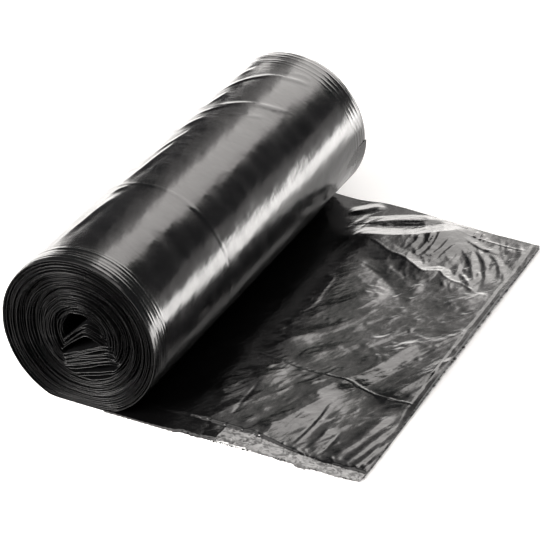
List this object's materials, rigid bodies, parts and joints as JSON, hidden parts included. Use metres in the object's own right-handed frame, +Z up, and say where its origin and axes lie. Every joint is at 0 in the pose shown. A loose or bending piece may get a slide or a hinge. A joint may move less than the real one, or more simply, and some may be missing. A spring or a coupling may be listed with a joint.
{
  "type": "bin bag roll",
  "caption": "Coreless roll of glossy black film bin bags on its side, with the loose end of the folded band pulled out flat in front of it.",
  "frame": {"origin": "on the floor plane, under the roll's axis, halfway along the roll", "axes": "+Y along the roll's axis, +X from under the roll towards the loose end, +Z up"},
  "size_m": [0.207, 0.254, 0.088],
  "materials": {
    "film": "glossy black polyethylene film, crinkled and soft"
  },
  "bodies": {
    "root": {"bag_roll": "film"}
  },
  "joints": []
}
